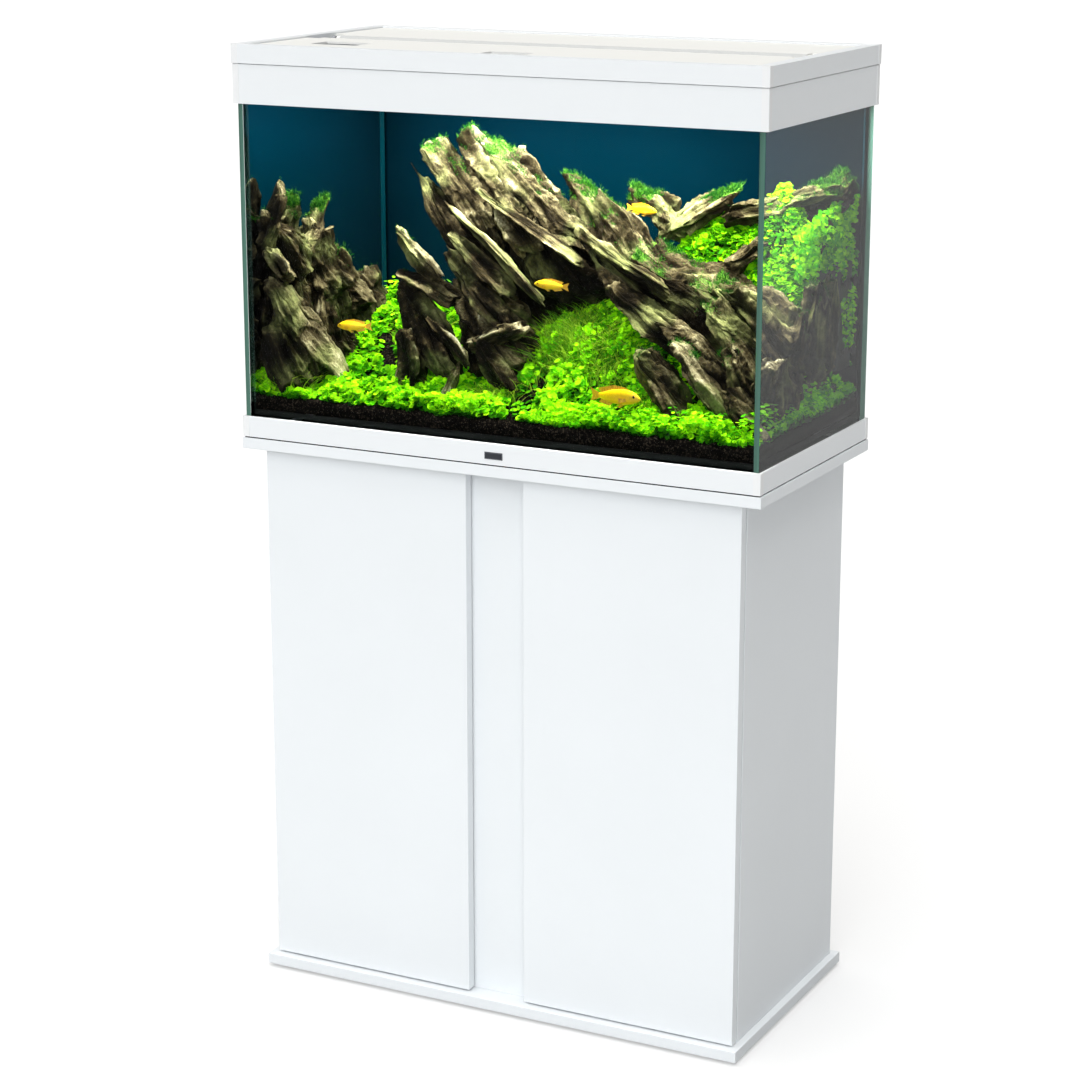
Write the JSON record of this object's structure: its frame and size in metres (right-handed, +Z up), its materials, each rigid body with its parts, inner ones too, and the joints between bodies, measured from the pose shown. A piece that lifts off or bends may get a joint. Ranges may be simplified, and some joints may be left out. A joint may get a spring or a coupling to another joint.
{
  "type": "aquarium on stand",
  "caption": "Planted glass aquarium with a white framed hood, hinged top flaps and light bars, on a white cabinet with full-height doors.",
  "frame": {"origin": "on the floor, under the middle of the base", "axes": "+Z up, +X to the viewer's right, front faces -Y"},
  "size_m": [0.813, 0.404, 1.381],
  "materials": {
    "white_board": "white melamine-faced chipboard, satin, with edge banding",
    "back_board": "white-faced fibreboard",
    "glide": "moulded glide",
    "pad": "soft clear bumper",
    "steel": "zinc-plated steel",
    "nylon": "natural nylon",
    "foam": "closed-cell foam",
    "glass": "clear float glass with green edges",
    "silicone": "clear silicone",
    "white_profile": "white powder coat, smooth",
    "white_plastic": "white moulded plastic",
    "badge": "blank gloss black plate",
    "backdrop": "deep blue gradient film",
    "led_housing": "anodised",
    "led_diffuser": "opal diffuser",
    "equipment": "black moulded plastic",
    "heater_glass": "dark quartz tube",
    "suction_rubber": "soft rubber",
    "rock": "layered grey-brown slate with moss",
    "substrate": "black granular soil",
    "plants": "living carpet plants, bright green",
    "fish": "yellow fish skin"
  },
  "bodies": {
    "stand_and_tank": {"base_plate": "white_board", "left_side_panel": "white_board", "right_side_panel": "white_board", "centre_panel": "white_board", "centre_divider": "white_board", "shelf": "white_board", "cabinet_top": "white_board", "cabinet_back": "back_board", "glides": "glide", "door_bumpers": "pad", "door_pivot_pins": "steel", "door_magnets": "steel", "shelf_pins": "steel", "support_mat": "foam", "front_pane": "glass", "back_pane": "glass", "left_pane": "glass", "right_pane": "glass", "bottom_pane": "glass", "silicone_seams": "silicone", "base_trim_long": "white_profile", "base_trim_sides": "white_profile", "hood_front_profile": "white_profile", "hood_back_profile": "white_profile", "hood_side_profiles": "white_profile", "base_trim_corners": "white_plastic", "hood_corners": "white_plastic", "led_holders": "white_plastic", "badge_plate": "badge", "backdrop_film": "backdrop", "led_housings": "led_housing", "led_diffusers": "led_diffuser", "filter_body": "equipment", "filter_head": "equipment", "heater_head": "equipment", "heater_tube": "heater_glass", "suction_cups": "suction_rubber", "rock_main": "rock", "rock_left": "rock", "rock_right": "rock", "substrate": "substrate", "plants": "plants", "fish": "fish"},
    "left_door": {"left_door": "white_board", "left_pivot_bushes": "nylon", "left_strike": "steel"},
    "right_door": {"right_door": "white_board", "right_pivot_bushes": "nylon", "right_strike": "steel"},
    "lid": {"lid_front_rail": "white_profile", "lid_back_rail": "white_profile", "lid_side_rails": "white_profile", "lid_corners": "white_plastic", "lid_bridge": "white_plastic", "flap_hinge_pins": "steel"},
    "front_flap": {"front_flap": "white_plastic", "feed_guides": "white_plastic", "finger_cup": "white_plastic"},
    "rear_flap": {"rear_flap": "white_plastic"},
    "feed_shutter": {"feed_shutter": "white_plastic"}
  },
  "joints": [
    {"name": "left_door_hinge", "type": "hinge", "parent": "stand_and_tank", "child": "left_door", "pos_m": [-0.368, -0.1765, 0.412], "axis": [0, 0, -1], "range_deg": [0, 105]},
    {"name": "right_door_hinge", "type": "hinge", "parent": "stand_and_tank", "child": "right_door", "pos_m": [0.368, -0.1765, 0.412], "axis": [0, 0, 1], "range_deg": [0, 105]},
    {"name": "lid_lift", "type": "slide", "parent": "stand_and_tank", "child": "lid", "axis": [0, 0, 1], "range_m": [0, 0.15]},
    {"name": "front_flap_hinge", "type": "hinge", "parent": "lid", "child": "front_flap", "pos_m": [0, -0.0245, 1.3727], "axis": [-1, 0, 0], "range_deg": [0, 93]},
    {"name": "rear_flap_hinge", "type": "hinge", "parent": "lid", "child": "rear_flap", "pos_m": [0, 0.0295, 1.3727], "axis": [1, 0, 0], "range_deg": [0, 93]},
    {"name": "feed_shutter_slide", "type": "slide", "parent": "front_flap", "child": "feed_shutter", "axis": [1, 0, 0], "range_m": [0, 0.083]}
  ]
}
